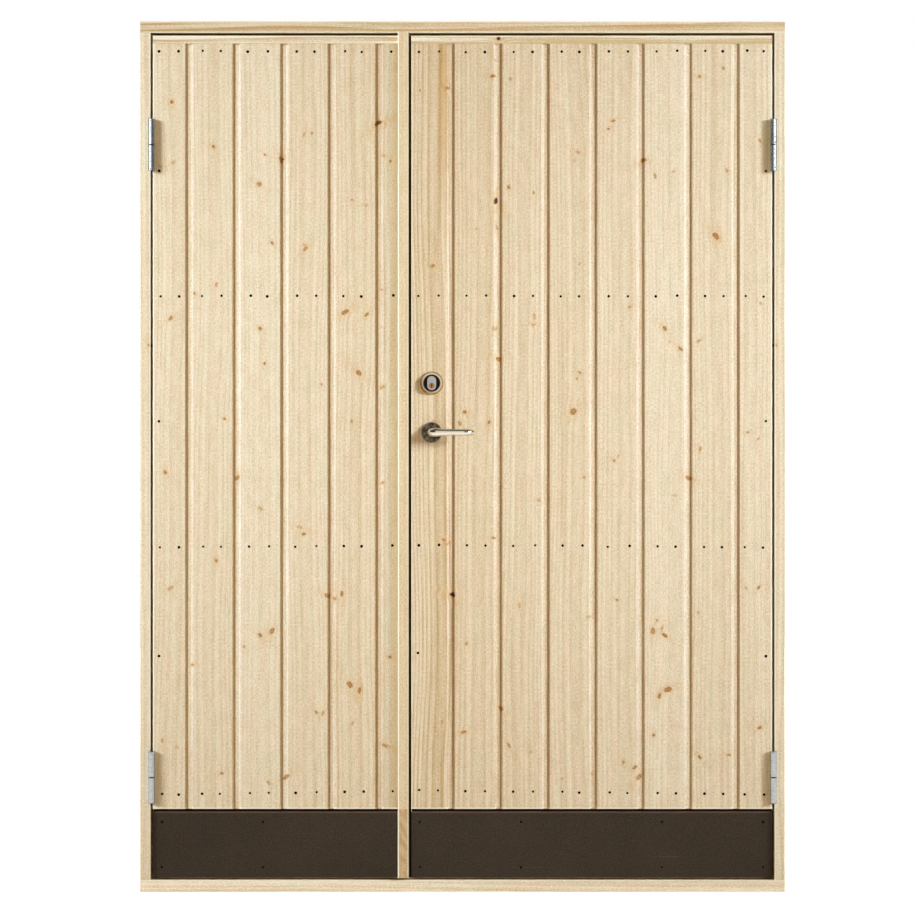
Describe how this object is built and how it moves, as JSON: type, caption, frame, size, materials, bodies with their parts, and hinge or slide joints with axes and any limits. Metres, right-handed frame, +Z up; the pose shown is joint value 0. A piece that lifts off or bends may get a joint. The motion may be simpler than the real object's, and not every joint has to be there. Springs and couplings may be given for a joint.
{
  "type": "double door",
  "caption": "Boarded pine double door with unequal leaves in a timber frame, opening outwards on lift-off hinges, with dark kick plates, a meeting post, a cylinder lock and lever handles.",
  "frame": {"origin": "centre of the sill's underside, halfway through the frame's depth", "axes": "+X to the right across the door as seen from outside, +Y from the outside to the inside, +Z up"},
  "size_m": [1.466, 0.171, 1.98],
  "materials": {
    "pine_boards": "planed, untreated pine with knots",
    "pine_framing": "planed, untreated pine",
    "pine_frame": "planed, untreated pine, edges rounded",
    "film_faced_plywood": "dark brown film face, satin",
    "galvanised_steel": "zinc plated",
    "seal_rubber": "black, matt",
    "satin_nickel": "satin nickel plate",
    "dark_nickel": "dark satin plate",
    "lock_steel": "bright zinc plate"
  },
  "bodies": {
    "frame": {"head": "pine_frame", "left_frame_hinges": "galvanised_steel", "left_jamb": "pine_frame", "rebate_seal": "seal_rubber", "right_frame_hinges": "galvanised_steel", "right_jamb": "pine_frame", "sill": "pine_frame"},
    "left_leaf": {"left_board_1": "pine_boards", "left_board_2": "pine_boards", "left_board_3": "pine_boards", "left_board_4": "pine_boards", "left_board_5": "pine_boards", "left_board_6": "pine_boards", "left_hinge_stile": "pine_framing", "left_kick_plate": "film_faced_plywood", "left_leaf_hinges": "galvanised_steel", "left_meeting_stile": "pine_framing", "left_rails": "pine_framing", "left_top_strip": "pine_frame", "meeting_post": "pine_frame", "meeting_seal": "seal_rubber", "strike_plate": "lock_steel"},
    "right_leaf": {"cylinder_ring": "satin_nickel", "inner_rose": "dark_nickel", "lock_case": "lock_steel", "lock_cylinder": "satin_nickel", "outer_rose": "dark_nickel", "right_board_1": "pine_boards", "right_board_2": "pine_boards", "right_board_3": "pine_boards", "right_board_4": "pine_boards", "right_board_5": "pine_boards", "right_board_6": "pine_boards", "right_board_7": "pine_boards", "right_board_8": "pine_boards", "right_hinge_stile": "pine_framing", "right_kick_plate": "film_faced_plywood", "right_leaf_hinges": "galvanised_steel", "right_meeting_stile": "pine_framing", "right_rails": "pine_framing", "right_top_strip": "pine_frame", "thumb_turn": "satin_nickel"},
    "lever": {"inner_lever": "satin_nickel", "outer_lever": "satin_nickel", "spindle": "lock_steel"}
  },
  "joints": [
    {"name": "left_leaf_hinge", "type": "hinge", "parent": "frame", "child": "left_leaf", "pos_m": [-0.7065, -0.0545, 0.979], "axis": [0, 0, -1], "range_deg": [0, 170]},
    {"name": "right_leaf_hinge", "type": "hinge", "parent": "frame", "child": "right_leaf", "pos_m": [0.7065, -0.0545, 0.979], "axis": [0, 0, 1], "range_deg": [0, 170]},
    {"name": "lever_turn", "type": "hinge", "parent": "right_leaf", "child": "lever", "pos_m": [-0.07, -0.046, 1.0445], "axis": [0, 1, 0], "range_deg": [0, 45], "stiffness_Nm_per_rad": 1, "springref_deg": -28.65}
  ]
}
